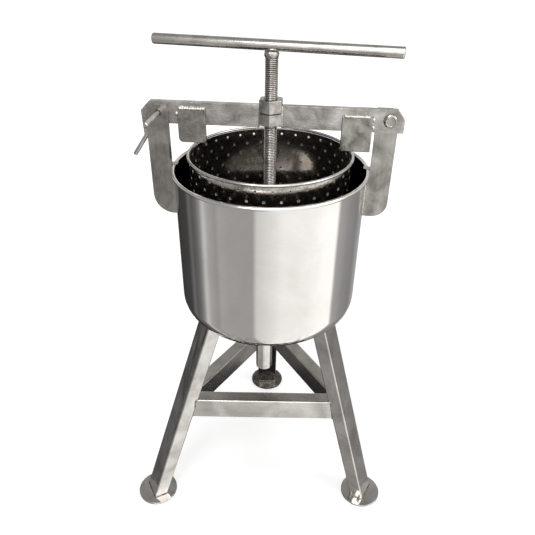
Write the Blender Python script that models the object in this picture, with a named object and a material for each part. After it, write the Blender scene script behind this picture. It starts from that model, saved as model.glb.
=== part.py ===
"""Cheese press: a three-legged stand, a pot with a perforated basket, and a screw beam.

Metres, +Z up, floor at Z = 0, front at -Y. Sizes are laid out from the pot's axis, and
the last step moves everything so that the middle of the plan is the origin.
"""

import math

import bmesh
import bpy
from mathutils import Vector

# ---- general ----
GAP = 0.0003            # clearance left between pieces that touch or are welded
PLAY = 0.0004           # radial running clearance in plain bores
ROUND = 36              # sides of small round pieces
AXIS_X, AXIS_Y = 0.01198, -0.06350  # where the pot's axis stands from the origin

# ---- pot ----
POT_RADIUS = 0.1745
POT_WALL = 0.0015
POT_BOTTOM_Z = 0.4645
POT_RIM_Z = 0.770
POT_CORNER = 0.045      # outside radius where the wall turns into the bottom
POT_SIDES = 72
RIM_BEAD = 0.0035       # radius of the rolled rim, seen in section
DRAIN_X, DRAIN_Y = -0.004, -0.108
DRAIN_RADIUS = 0.0161
DRAIN_BORE = 0.0145
DRAIN_END_Z = 0.386

# ---- basket and the plate that presses the curd ----
BASKET_RADIUS = 0.146
BASKET_WALL = 0.0012
BASKET_FLOOR_Z = 0.480
BASKET_RIM_Z = 0.796
BASKET_CORNER = 0.006
BASKET_BEAD = 0.0026
BASKET_SIDES = 56
BASKET_FOOT_RADIUS = 0.008
BASKET_FOOT_CIRCLE = 0.095
HOLE_RADIUS = 0.0024
HOLES_AROUND = 24
HOLE_ROWS = (0.520, 0.565, 0.610, 0.655, 0.700, 0.745)
FLOOR_HOLE_RINGS = ((0.035, 6), (0.075, 10), (0.115, 14))
FOLLOWER_RADIUS = 0.138
FOLLOWER_THICK = 0.008
FOLLOWER_HOLE_RING = 0.105

# ---- stand ----
TUBE_WIDE = 0.050
TUBE_DEEP = 0.030
TUBE_WALL = 0.002
TUBE_CORNER = 0.003
LEG_TOP_CIRCLE = 0.130  # circle of the leg centres where they meet the pot's bottom
FOOT_THICK = 0.005
FOOT_RADIUS = 0.0445
RAIL_TOP_Z = 0.278
# name: direction of the leg top, direction of its foot (degrees), circle of the foot
LEGS = {
    "front_left": (210.0, 207.6, 0.2869),
    "front_right": (330.0, 332.9, 0.2587),
    "back": (90.0, 90.3, 0.2625),
}
RAILS = {
    "front": ("front_left", "front_right"),
    "left": ("front_left", "back"),
    "right": ("front_right", "back"),
}

# ---- beam: u runs along it, v from front to back, turned a little about Z ----
BEAM_TURN = 0.099       # radians, right-hand end towards the front
BAR_THICK = 0.0127
BEAM_Z = 0.8602
BEAM_HALF_HEIGHT = 0.0191
BEAM_LEFT_END = -0.231
BEAM_RIGHT_END = 0.227
BEAM_CHAMFER = 0.0165
HEEL_Z = 0.8175         # lower edge of the heel at the beam's free end
HEEL_WIDTH = 0.020
UPRIGHT_INNER = 0.1808
UPRIGHT_OUTER = 0.2188
UPRIGHT_TOP_Z = 0.8765
UPRIGHT_LEFT_FOOT_Z = 0.672
UPRIGHT_RIGHT_FOOT_Z = 0.678
UPRIGHT_LEFT_ROUND = 0.037
UPRIGHT_RIGHT_ROUND = 0.027
TAB_THICK = 0.003
TAB_LEFT = (-0.1645, -0.1135, 0.809, 0.869)
TAB_RIGHT = (0.1225, 0.1745, 0.8065, 0.8665)
TAB_ROUND = 0.008

# ---- pivot ----
PIVOT_U, PIVOT_Z = 0.2029, 0.8617
PIVOT_SHANK = 0.0058
PIVOT_HEAD = 0.0115
PIVOT_HEAD_THICK = 0.0055
WASHER_RADIUS = 0.0125
WASHER_THICK = 0.0018
PIVOT_NUT_FLATS = 0.019
PIVOT_NUT_THICK = 0.010

# ---- hitch pin ----
PIN_U, PIN_Z = -0.1955, 0.8634
PIN_RADIUS = 0.0041
PIN_FRONT_V = -0.092
PIN_BACK_V = 0.0165
PIN_BEND = 0.009
PIN_TAIL_U, PIN_TAIL_Z = -0.2590, 0.7730
PIN_BORE = 0.0047

# ---- screw ----
SCREW_RADIUS = 0.0113
SCREW_NUT_FLATS = 0.0386
SCREW_NUT_Z = (0.8459, 0.8663, 0.8896)
HANDLE_Z = 0.974
HANDLE_RADIUS = 0.0088
HANDLE_LENGTH = 0.4226
HANDLE_TURN = 0.2584    # radians, right-hand end towards the front
BOSS_HEIGHT = 0.010
BOSS_TOP_RADIUS = 0.0160
BOSS_LOW_RADIUS = 0.0128
JOURNAL_TOP_Z = 0.7003
JOURNAL_RADIUS = 0.0075
GROOVE_RADIUS = 0.0055
GROOVE_HALF = 0.0029
GRUB_Z = 0.690
GRUB_RADIUS = 0.0025
PRESS_RADIUS = 0.078
PRESS_THICK = 0.010
PRESS_BOTTOM_Z = 0.668
HUB_RADIUS = 0.019


# ---------------------------------------------------------------- helpers
def clear_scene():
    """Remove whatever the scene starts with."""
    for obj in list(bpy.data.objects):
        bpy.data.objects.remove(obj, do_unlink=True)


def add_object(name, verts, faces):
    """Make one object from points and faces, with its faces turned outwards."""
    mesh = bpy.data.meshes.new(name)
    mesh.from_pydata([tuple(v) for v in verts], [], faces)
    work = bmesh.new()
    work.from_mesh(mesh)
    bmesh.ops.recalc_face_normals(work, faces=work.faces)
    work.to_mesh(mesh)
    work.free()
    obj = bpy.data.objects.new(name, mesh)
    bpy.context.scene.collection.objects.link(obj)
    return obj


def loft(name, loops, closed=False):
    """Skin a row of equal loops; the ends are filled unless the row is closed."""
    count = len(loops[0])
    verts = [point for loop in loops for point in loop]
    faces = []
    spans = len(loops) if closed else len(loops) - 1
    for row in range(spans):
        low, high = row * count, ((row + 1) % len(loops)) * count
        for k in range(count):
            after = (k + 1) % count
            faces.append((low + k, low + after, high + after, high + k))
    if not closed:
        faces.append(tuple(range(count)))
        faces.append(tuple(range((len(loops) - 1) * count, len(loops) * count)))
    return add_object(name, verts, faces)


def circle(centre, radius, across, up, sides):
    """Points of a circle in the plane of two unit vectors."""
    points = []
    for k in range(sides):
        angle = 2.0 * math.pi * k / sides
        points.append(centre + across * (radius * math.cos(angle)) + up * (radius * math.sin(angle)))
    return points


def frame_of(direction):
    """Two unit vectors square to a direction."""
    helper = Vector((0, 0, 1)) if abs(direction.z) < 0.9 else Vector((1, 0, 0))
    across = helper.cross(direction).normalized()
    return across, direction.cross(across).normalized()


def rod(name, start, end, steps, sides=ROUND):
    """Round piece on a line; steps are (distance from start, radius)."""
    start, end = Vector(start), Vector(end)
    direction = (end - start).normalized()
    across, up = frame_of(direction)
    loops = [circle(start + direction * d, r, across, up, sides) for d, r in steps]
    return loft(name, loops)


def cylinder(name, start, end, radius, sides=ROUND, chamfer=0.0):
    """Plain cylinder with optional chamfered edges."""
    length = (Vector(end) - Vector(start)).length
    steps = [(0.0, radius), (length, radius)]
    if chamfer:
        steps = [(0.0, radius - chamfer), (chamfer, radius),
                 (length - chamfer, radius), (length, radius - chamfer)]
    return rod(name, start, end, steps, sides)


def lathe(name, profile, sides, centre=(0.0, 0.0)):
    """Turn a closed section of (radius, z) pairs round a vertical axis."""
    loops = []
    for radius, z in profile:
        middle = Vector((centre[0], centre[1], z))
        loops.append(circle(middle, radius, Vector((1, 0, 0)), Vector((0, 1, 0)), sides))
    return loft(name, loops, closed=True)


def turned(name, profile, sides, centre=(0.0, 0.0)):
    """Turn an open section into a solid with flat ends."""
    loops = []
    for radius, z in profile:
        middle = Vector((centre[0], centre[1], z))
        loops.append(circle(middle, radius, Vector((1, 0, 0)), Vector((0, 1, 0)), sides))
    return loft(name, loops)


def arc(cx, cz, radius, start, stop, steps):
    """Points of an arc in a section, angles in degrees."""
    points = []
    for k in range(steps + 1):
        angle = math.radians(start + (stop - start) * k / steps)
        points.append((cx + radius * math.cos(angle), cz + radius * math.sin(angle)))
    return points


def combine(obj, tool, operation):
    """Apply one boolean and throw the tool away."""
    step = obj.modifiers.new("step", "BOOLEAN")
    step.operation = operation
    step.solver = "EXACT"
    step.object = tool
    graph = bpy.context.evaluated_depsgraph_get()
    mesh = bpy.data.meshes.new_from_object(obj.evaluated_get(graph))
    obj.modifiers.clear()
    obj.data = mesh
    bpy.data.objects.remove(tool, do_unlink=True)
    return obj


def cut(obj, tool):
    """Take the tool's volume away."""
    return combine(obj, tool, "DIFFERENCE")


def join(name, pieces):
    """One object holding several separate solids, used only as a cutting tool."""
    work = bmesh.new()
    for piece in pieces:
        work.from_mesh(piece.data)
    mesh = bpy.data.meshes.new(name)
    work.to_mesh(mesh)
    work.free()
    for piece in pieces:
        bpy.data.objects.remove(piece, do_unlink=True)
    obj = bpy.data.objects.new(name, mesh)
    bpy.context.scene.collection.objects.link(obj)
    return obj


def beam_point(u, v, z):
    """World point of a place given along, across and above in the beam's frame."""
    cos, sin = math.cos(BEAM_TURN), math.sin(BEAM_TURN)
    return Vector((u * cos + v * sin, -u * sin + v * cos, z))


def plate(name, outline, v_front, v_back):
    """Flat piece standing in the beam's plane, from an outline of (u, z) pairs."""
    loops = [[beam_point(u, v, z) for u, z in outline] for v in (v_front, v_back)]
    return loft(name, loops)


def across_bore(radius, u, z, v_front, v_back):
    """Cutting tool for a hole through a plate."""
    return cylinder("bore", beam_point(u, v_front, z), beam_point(u, v_back, z), radius)


def give_material(obj, color, metallic, roughness):
    """Each piece gets a material of its own name."""
    material = bpy.data.materials.new(obj.name + "_steel")
    material.use_nodes = True
    shader = material.node_tree.nodes["Principled BSDF"]
    shader.inputs["Base Color"].default_value = (*color, 1.0)
    shader.inputs["Metallic"].default_value = metallic
    shader.inputs["Roughness"].default_value = roughness
    obj.data.materials.clear()
    obj.data.materials.append(material)


# ---------------------------------------------------------------- pot
def pot_envelope(offset):
    """Solid of the pot's outside, swollen by an offset, for cutting its neighbours."""
    radius, low = POT_RADIUS + offset, POT_BOTTOM_Z - offset
    corner = POT_CORNER + offset
    profile = [(0.001, low)]
    profile += arc(radius - corner, low + corner, corner, -90, 0, 16)
    profile += [(radius, POT_RIM_Z - 2 * RIM_BEAD - offset)]
    bead_r = POT_RADIUS + 2 * RIM_BEAD - POT_WALL + offset
    profile += [(bead_r, POT_RIM_Z - 2 * RIM_BEAD - offset), (bead_r, POT_RIM_Z + offset)]
    profile += [(0.001, POT_RIM_Z + offset)]
    return turned("envelope", profile, POT_SIDES)


def build_pot():
    """Deep-drawn pot with a rolled rim and a drain hole in its bottom."""
    inner = POT_RADIUS - POT_WALL
    floor = POT_BOTTOM_Z + POT_WALL
    corner = POT_CORNER
    bead_r = POT_RADIUS - POT_WALL + RIM_BEAD
    bead_z = POT_RIM_Z - RIM_BEAD
    outside = [(0.0008, POT_BOTTOM_Z)]
    outside += arc(POT_RADIUS - corner, POT_BOTTOM_Z + corner, corner, -90, 0, 8)
    outside += [(POT_RADIUS, bead_z - RIM_BEAD)]
    outside += arc(bead_r, bead_z, RIM_BEAD, -70, 180, 10)
    inside = [(inner, bead_z - RIM_BEAD)]
    inside += arc(inner + POT_WALL - corner, floor + corner - POT_WALL, corner - POT_WALL, 0, -90, 8)
    inside += [(0.0008, floor)]
    pot = close_pole(lathe("outer_pot", outside + inside, POT_SIDES))
    hole = cylinder("hole", (DRAIN_X, DRAIN_Y, POT_BOTTOM_Z - 0.01),
                    (DRAIN_X, DRAIN_Y, POT_BOTTOM_Z + 0.01), DRAIN_BORE, 32)
    return cut(pot, hole)


def close_pole(obj):
    """Fill the pin-hole that a turned shell leaves on its axis."""
    work = bmesh.new()
    work.from_mesh(obj.data)
    near = [f for f in work.faces
            if all(math.hypot(v.co.x, v.co.y) < 0.002 for v in f.verts)]
    bmesh.ops.delete(work, geom=near, context="FACES")
    bmesh.ops.holes_fill(work, edges=[e for e in work.edges if e.is_boundary], sides=0)
    bmesh.ops.recalc_face_normals(work, faces=work.faces)
    work.to_mesh(obj.data)
    work.free()
    return obj


def build_drain():
    """Short pipe under the drain hole, open at both ends."""
    top = POT_BOTTOM_Z - GAP
    profile = [(DRAIN_BORE, DRAIN_END_Z), (DRAIN_RADIUS, DRAIN_END_Z),
               (DRAIN_RADIUS, top), (DRAIN_BORE, top)]
    return lathe("drain_spout", profile, ROUND, (DRAIN_X, DRAIN_Y))


# ---------------------------------------------------------------- basket
def basket_shell():
    """Straight wall, small corner, flat floor and a wired rim."""
    inner = BASKET_RADIUS - BASKET_WALL
    corner = BASKET_CORNER
    floor = BASKET_FLOOR_Z + BASKET_WALL
    bead_z = BASKET_RIM_Z - BASKET_BEAD
    bead_r = inner + BASKET_BEAD
    outside = [(0.0008, BASKET_FLOOR_Z)]
    outside += arc(BASKET_RADIUS - corner, BASKET_FLOOR_Z + corner, corner, -90, 0, 3)
    outside += [(BASKET_RADIUS, bead_z - BASKET_BEAD)]
    outside += arc(bead_r, bead_z, BASKET_BEAD, -60, 180, 7)
    inside = [(inner, bead_z - BASKET_BEAD)]
    inside += arc(BASKET_RADIUS - corner, BASKET_FLOOR_Z + corner, corner - BASKET_WALL, 0, -90, 3)
    inside += [(0.0008, floor)]
    return close_pole(lathe("basket", outside + inside, BASKET_SIDES))


def basket_holes():
    """Cutting tool for the rows of holes in the wall and the rings in the floor."""
    drills = []
    for row, z in enumerate(HOLE_ROWS):
        for k in range(HOLES_AROUND):
            angle = 2.0 * math.pi * (k + 0.5 * (row % 2) + 0.25) / HOLES_AROUND
            way = Vector((math.cos(angle), math.sin(angle), 0))
            height = Vector((0, 0, z))
            drills.append(cylinder("drill", way * (BASKET_RADIUS - 0.006) + height,
                                   way * (BASKET_RADIUS + 0.006) + height, HOLE_RADIUS, 6))
    for ring, count in FLOOR_HOLE_RINGS:
        for k in range(count):
            angle = 2.0 * math.pi * (k + 0.5) / count
            x, y = ring * math.cos(angle), ring * math.sin(angle)
            drills.append(cylinder("drill", (x, y, BASKET_FLOOR_Z - 0.004),
                                   (x, y, BASKET_FLOOR_Z + 0.006), HOLE_RADIUS, 6))
    return join("drills", drills)


def build_basket():
    """Perforated basket standing on three welded feet inside the pot."""
    basket = basket_shell()
    floor_top = BASKET_FLOOR_Z + BASKET_WALL * 0.5
    pot_floor = POT_BOTTOM_Z + POT_WALL + GAP
    for k in range(3):
        angle = math.radians(90 + 120 * k)
        x, y = BASKET_FOOT_CIRCLE * math.cos(angle), BASKET_FOOT_CIRCLE * math.sin(angle)
        foot = cylinder("foot", (x, y, pot_floor), (x, y, floor_top), BASKET_FOOT_RADIUS, 20)
        combine(basket, foot, "UNION")
    return cut(basket, basket_holes())


def build_follower():
    """Loose round plate that lies on the curd and takes the screw's push."""
    low = BASKET_FLOOR_Z + BASKET_WALL + GAP
    plate_top = low + FOLLOWER_THICK
    soft = 0.0015
    disc = turned("follower_plate", [
        (FOLLOWER_RADIUS - soft, low), (FOLLOWER_RADIUS, low + soft),
        (FOLLOWER_RADIUS, plate_top - soft), (FOLLOWER_RADIUS - soft, plate_top)], 72)
    drills = []
    for k in range(12):
        angle = 2.0 * math.pi * k / 12
        x, y = FOLLOWER_HOLE_RING * math.cos(angle), FOLLOWER_HOLE_RING * math.sin(angle)
        drills.append(cylinder("drill", (x, y, low - 0.004), (x, y, plate_top + 0.004),
                               HOLE_RADIUS, 8))
    return cut(disc, join("drills", drills))


# ---------------------------------------------------------------- stand
def polar(angle_deg, radius, z):
    """World point from a direction and a distance off the pot's axis."""
    angle = math.radians(angle_deg)
    return Vector((radius * math.cos(angle), radius * math.sin(angle), z))


def rounded_rectangle(wide, deep, corner):
    """Corner-rounded section of a tube, counter-clockwise."""
    points = []
    for cx, cy, start in ((1, 1, 0), (-1, 1, 90), (-1, -1, 180), (1, -1, 270)):
        points += arc(cx * (wide / 2 - corner), cy * (deep / 2 - corner), corner, start, start + 90, 3)
    return points


def tube_solid(name, start, end, across, wide, deep, corner):
    """Solid bar of a rounded section between two points."""
    direction = (end - start).normalized()
    across = (across - direction * across.dot(direction)).normalized()
    up = direction.cross(across).normalized()
    section = rounded_rectangle(wide, deep, corner)
    loops = [[place + across * a + up * b for a, b in section] for place in (start, end)]
    return loft(name, loops)


def leg_line(name):
    """Centre line of a leg: a point inside the pot's bottom and one below the floor."""
    top_angle, foot_angle, foot_circle = LEGS[name]
    top = polar(top_angle, LEG_TOP_CIRCLE, POT_BOTTOM_Z)
    foot = polar(foot_angle, foot_circle, FOOT_THICK)
    step = (top - foot).normalized()
    return top + step * 0.035, foot - step * 0.035


def leg_solid(name, swell, label):
    """A leg as a solid bar, swollen by a clearance on every side."""
    start, end = leg_line(name)
    across = polar(LEGS[name][1] + 90.0, 1.0, 0.0)
    return tube_solid(label, start, end, across, TUBE_WIDE + 2 * swell,
                      TUBE_DEEP + 2 * swell, TUBE_CORNER + swell)


def slab(z_low, z_high):
    """Wide block used to trim pieces level."""
    half = 0.6
    loops = [[Vector((x, y, z)) for x, y in ((-half, -half), (half, -half), (half, half), (-half, half))]
             for z in (z_low, z_high)]
    return loft("slab", loops)


def build_leg(name):
    """Open tube, coped to the pot's bottom and cut level above its foot plate."""
    leg = leg_solid(name, 0.0, "leg_" + name)
    leg = cut(leg, leg_solid(name, -TUBE_WALL, "core"))
    leg = cut(leg, pot_envelope(GAP))
    return cut(leg, slab(-0.2, FOOT_THICK + GAP))


def build_foot(name):
    """Round plate under a leg."""
    _, foot_angle, foot_circle = LEGS[name]
    centre = polar(foot_angle, foot_circle, 0.0)
    edge = 0.0008
    return turned("foot_plate_" + name, [
        (FOOT_RADIUS - edge, 0.0), (FOOT_RADIUS, edge),
        (FOOT_RADIUS, FOOT_THICK - edge), (FOOT_RADIUS - edge, FOOT_THICK)],
        ROUND, (centre.x, centre.y))


def leg_centre(name, z):
    """Where a leg's centre line crosses a height."""
    start, end = leg_line(name)
    return start + (end - start) * ((start.z - z) / (start.z - end.z))


def mitre(rail, leg, keep):
    """Trim a rail at the upright plane through a leg, on the far side from `keep`."""
    radial = polar(LEGS[leg][1], 1.0, 0.0)
    side = Vector((-radial.y, radial.x, 0))
    base = leg_centre(leg, RAIL_TOP_Z - TUBE_WIDE / 2)
    if (keep - base).dot(side) < 0:
        side = -side
    reach, rise = radial * 0.1, Vector((0, 0, 0.1))
    loops = [[base + side * t - reach - rise, base + side * t + reach - rise,
              base + side * t + reach + rise, base + side * t - reach + rise]
             for t in (GAP, -0.1)]
    return cut(rail, loft("mitre", loops))


def build_rail(name):
    """Level open tube between two legs, its ends mitred and coped to them."""
    first, second = RAILS[name]
    middle_z = RAIL_TOP_Z - TUBE_WIDE / 2
    start, end = leg_centre(first, middle_z), leg_centre(second, middle_z)
    upright = Vector((0, 0, 1))
    rail = tube_solid("rail_" + name, start, end, upright, TUBE_WIDE, TUBE_DEEP, TUBE_CORNER)
    reach = (end - start).normalized() * 0.01
    core = tube_solid("core", start - reach, end + reach, upright, TUBE_WIDE - 2 * TUBE_WALL,
                      TUBE_DEEP - 2 * TUBE_WALL, TUBE_CORNER - TUBE_WALL)
    rail = cut(rail, core)
    for leg in (first, second):
        rail = mitre(rail, leg, (start + end) / 2)
        rail = cut(rail, leg_solid(leg, GAP, "cope"))
    return rail


# ---------------------------------------------------------------- uprights and beam
def upright_outline(sign, foot_z, foot_round, chamfer):
    """Outline of an upright; sign is -1 on the left and 1 on the right."""
    corner = [(UPRIGHT_OUTER - foot_round + x, z)
              for x, z in arc(0.0, foot_z + foot_round, foot_round, 0, -90, 8)]
    points = [(UPRIGHT_OUTER, UPRIGHT_TOP_Z - chamfer)] + corner
    points += [(POT_RADIUS - 0.006, foot_z), (POT_RADIUS - 0.006, POT_RIM_Z + 2 * GAP),
               (UPRIGHT_INNER, POT_RIM_Z + 2 * GAP), (UPRIGHT_INNER, UPRIGHT_TOP_Z),
               (UPRIGHT_OUTER - chamfer, UPRIGHT_TOP_Z)]
    return [(sign * u, z) for u, z in points]


def build_uprights():
    """Two flat bars welded to the pot's side: one in front of the beam, one behind it."""
    face = BAR_THICK / 2 + PLAY
    left = plate("upright_left", upright_outline(-1, UPRIGHT_LEFT_FOOT_Z, UPRIGHT_LEFT_ROUND, 0.017),
                 -face - BAR_THICK, -face)
    left = cut(left, pot_envelope(GAP))
    left = cut(left, across_bore(PIN_BORE, PIN_U, PIN_Z, -0.05, 0.05))
    right = plate("upright_right", upright_outline(1, UPRIGHT_RIGHT_FOOT_Z, UPRIGHT_RIGHT_ROUND, 0.012),
                  face, face + BAR_THICK)
    right = cut(right, pot_envelope(GAP))
    right = cut(right, across_bore(PIVOT_SHANK + PLAY, PIVOT_U, PIVOT_Z, -0.05, 0.05))
    return left, right


def build_beam():
    """Two bar halves, one each side of the screw nuts."""
    low, high = BEAM_Z - BEAM_HALF_HEIGHT, BEAM_Z + BEAM_HALF_HEIGHT
    inner = SCREW_NUT_FLATS / 2 + GAP
    half = BAR_THICK / 2
    left = plate("beam_left", [
        (-inner, low), (-inner, high), (BEAM_LEFT_END + BEAM_CHAMFER, high),
        (BEAM_LEFT_END, high - BEAM_CHAMFER), (BEAM_LEFT_END + 0.002, HEEL_Z),
        (BEAM_LEFT_END + HEEL_WIDTH, HEEL_Z), (BEAM_LEFT_END + HEEL_WIDTH, low)], -half, half)
    left = cut(left, across_bore(PIN_BORE, PIN_U, PIN_Z, -0.05, 0.05))
    right = plate("beam_right", [
        (inner, low), (BEAM_RIGHT_END, low), (BEAM_RIGHT_END, high - BEAM_CHAMFER),
        (BEAM_RIGHT_END - BEAM_CHAMFER * 0.8, high), (inner, high)], -half, half)
    right = cut(right, across_bore(PIVOT_SHANK + PLAY, PIVOT_U, PIVOT_Z, -0.05, 0.05))
    return left, right


def build_tab(name, size, rounded_side):
    """Thin plate hanging from the beam's front face over the basket's rim."""
    u_low, u_high, z_low, z_high = size
    face = -BAR_THICK / 2 - GAP
    left_round = TAB_ROUND if rounded_side < 0 else 0.0015
    right_round = TAB_ROUND if rounded_side > 0 else 0.0015
    outline = [(u_high, z_high), (u_low, z_high)]
    outline += arc(u_low + left_round, z_low + left_round, left_round, 180, 270, 5)
    outline += arc(u_high - right_round, z_low + right_round, right_round, 270, 360, 5)
    return plate(name, outline, face - TAB_THICK, face)


def hexagon(centre, flats, across, up):
    """Corner points of a hexagon with two flats square to `across`."""
    points = []
    for k in range(6):
        angle = math.radians(30 + 60 * k)
        reach = flats / math.sqrt(3.0)
        points.append(centre + across * (reach * math.cos(angle)) + up * (reach * math.sin(angle)))
    return points


def screw_nut(name, z_low, z_high):
    """Hexagon nut on the screw axis with its edges eased."""
    along = beam_point(1, 0, 0)
    back = beam_point(0, 1, 0)
    ease = 0.0010
    levels = ((z_low, -ease), (z_low + ease, 0.0), (z_high - ease, 0.0), (z_high, -ease))
    loops = [hexagon(Vector((0, 0, z)), SCREW_NUT_FLATS + 2 * grow, along, back)
             for z, grow in levels]
    nut = loft(name, loops)
    bore = cylinder("bore", (0, 0, z_low - 0.01), (0, 0, z_high + 0.01), SCREW_RADIUS + PLAY)
    return cut(nut, bore)


# ---------------------------------------------------------------- pivot and pin
def build_pivot():
    """Round-headed bolt from the front, washer and nut behind the right upright."""
    head_v = -BAR_THICK / 2 - PLAY
    back = BAR_THICK * 1.5 + PLAY + GAP
    end = back + WASHER_THICK + PIVOT_NUT_THICK + 0.003
    start = head_v - PIVOT_HEAD_THICK
    steps = [(0.0, PIVOT_HEAD * 0.62), (0.0012, PIVOT_HEAD * 0.85), (0.003, PIVOT_HEAD),
             (PIVOT_HEAD_THICK, PIVOT_HEAD), (PIVOT_HEAD_THICK, PIVOT_SHANK),
             (end - start - 0.001, PIVOT_SHANK), (end - start, PIVOT_SHANK - 0.001)]
    bolt = rod("pivot_bolt", beam_point(PIVOT_U, start, PIVOT_Z), beam_point(PIVOT_U, end, PIVOT_Z), steps)
    washer = cylinder("pivot_washer", beam_point(PIVOT_U, back, PIVOT_Z),
                      beam_point(PIVOT_U, back + WASHER_THICK, PIVOT_Z), WASHER_RADIUS)
    washer = cut(washer, across_bore(PIVOT_SHANK + PLAY, PIVOT_U, PIVOT_Z, -0.05, 0.05))
    low = back + WASHER_THICK + GAP
    centre_a, centre_b = beam_point(PIVOT_U, low, PIVOT_Z), beam_point(PIVOT_U, low + PIVOT_NUT_THICK, PIVOT_Z)
    along, up = beam_point(1, 0, 0), Vector((0, 0, 1))
    nut = loft("pivot_nut", [hexagon(centre, PIVOT_NUT_FLATS, along, up) for centre in (centre_a, centre_b)])
    nut = cut(nut, across_bore(PIVOT_SHANK + GAP, PIVOT_U, PIVOT_Z, -0.05, 0.05))
    return bolt, washer, nut


def build_pin():
    """Bent rod through the left upright and the beam; its tail hangs behind."""
    corner = Vector((PIN_U, PIN_BACK_V, PIN_Z))
    tail = Vector((PIN_TAIL_U, PIN_BACK_V, PIN_TAIL_Z))
    back = Vector((0, 1, 0))
    down = (tail - corner).normalized()
    stations = [(Vector((PIN_U, PIN_FRONT_V, PIN_Z)), back)]
    centre = corner - back * PIN_BEND + down * PIN_BEND
    for k in range(7):
        angle = math.radians(90.0 * k / 6)
        place = centre - down * (PIN_BEND * math.cos(angle)) + back * (PIN_BEND * math.sin(angle))
        stations.append((place, back * math.cos(angle) + down * math.sin(angle)))
    stations.append((tail, down))
    side = back.cross(down).normalized()
    loops = []
    last = len(stations) - 1
    for index, (place, way) in enumerate(stations):
        across = way.cross(side).normalized()
        radius = PIN_RADIUS
        loops.append([place + side * (radius * math.cos(a)) + across * (radius * math.sin(a))
                      for a in (2 * math.pi * k / 20 for k in range(20))])
        if index in (0, last):
            tip = place - way * 0.0012 if index == 0 else place + way * 0.0012
            ring = [tip + (point - place) * 0.7 for point in loops[-1]]
            loops.insert(0 if index == 0 else len(loops), ring)
    world = [[beam_point(p.x, p.y, p.z) for p in loop] for loop in loops]
    return loft("hitch_pin", world)


# ---------------------------------------------------------------- screw
def build_screw():
    """Screw with a plain journal and a groove at its lower end."""
    journal_end = PRESS_BOTTOM_Z + PRESS_THICK + 0.0006
    top = HANDLE_Z - HANDLE_RADIUS - GAP
    profile = [
        (JOURNAL_RADIUS - 0.001, journal_end), (JOURNAL_RADIUS, journal_end + 0.001),
        (JOURNAL_RADIUS, GRUB_Z - GROOVE_HALF), (GROOVE_RADIUS, GRUB_Z - GROOVE_HALF),
        (GROOVE_RADIUS, GRUB_Z + GROOVE_HALF), (JOURNAL_RADIUS, GRUB_Z + GROOVE_HALF),
        (JOURNAL_RADIUS, JOURNAL_TOP_Z), (SCREW_RADIUS - 0.001, JOURNAL_TOP_Z),
        (SCREW_RADIUS, JOURNAL_TOP_Z + 0.001), (SCREW_RADIUS, top)]
    return turned("press_screw", profile, ROUND)


def build_handle():
    """Round bar across the screw's top and the small cone of its boss."""
    way = Vector((math.cos(HANDLE_TURN), -math.sin(HANDLE_TURN), 0)) * (HANDLE_LENGTH / 2)
    middle = Vector((0, 0, HANDLE_Z))
    bar = cylinder("handle_bar", middle - way, middle + way, HANDLE_RADIUS, 40, 0.0012)
    top = HANDLE_Z - HANDLE_RADIUS - GAP
    bore = SCREW_RADIUS + GAP
    boss = lathe("handle_boss", [
        (bore, top - BOSS_HEIGHT), (BOSS_LOW_RADIUS, top - BOSS_HEIGHT),
        (BOSS_TOP_RADIUS, top), (bore, top)], ROUND)
    return bar, boss


def build_press_foot():
    """Disc with a hub that turns on the screw's journal, and the screw that keeps it."""
    disc_top = PRESS_BOTTOM_Z + PRESS_THICK
    hub_top = JOURNAL_TOP_Z - GAP
    edge = 0.0015
    foot = turned("press_foot", [
        (PRESS_RADIUS - edge, PRESS_BOTTOM_Z), (PRESS_RADIUS, PRESS_BOTTOM_Z + edge),
        (PRESS_RADIUS, disc_top - edge), (PRESS_RADIUS - edge, disc_top),
        (HUB_RADIUS + 0.002, disc_top), (HUB_RADIUS, disc_top + 0.002),
        (HUB_RADIUS, hub_top - 0.001), (HUB_RADIUS - 0.001, hub_top)], 64)
    foot = cut(foot, cylinder("bore", (0, 0, disc_top), (0, 0, hub_top + 0.02), JOURNAL_RADIUS + GAP))
    inner = GROOVE_RADIUS + GAP
    foot = cut(foot, cylinder("tap", (0, 0, GRUB_Z), (0.05, 0, GRUB_Z), GRUB_RADIUS + GAP, 24))
    grub = cylinder("foot_grub_screw", (inner, 0, GRUB_Z), (HUB_RADIUS - 0.0005, 0, GRUB_Z), GRUB_RADIUS, 24, 0.0004)
    socket = rod("socket", (HUB_RADIUS - 0.0025, 0, GRUB_Z), (HUB_RADIUS + 0.01, 0, GRUB_Z),
                 [(0.0, 0.0013), (0.0125, 0.0013)], 6)
    return foot, cut(grub, socket)


# ---------------------------------------------------------------- all of it
STEEL = (0.60, 0.59, 0.57)
BRIGHT = (0.70, 0.69, 0.67)
DARK = (0.45, 0.45, 0.44)


def build_stand():
    """Pot, drain, legs, feet and rails."""
    pieces = [(build_pot(), BRIGHT, 0.10), (build_drain(), BRIGHT, 0.18)]
    for name in LEGS:
        pieces.append((build_leg(name), STEEL, 0.22))
        pieces.append((build_foot(name), STEEL, 0.25))
    for name in RAILS:
        pieces.append((build_rail(name), STEEL, 0.24))
    return pieces


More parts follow.
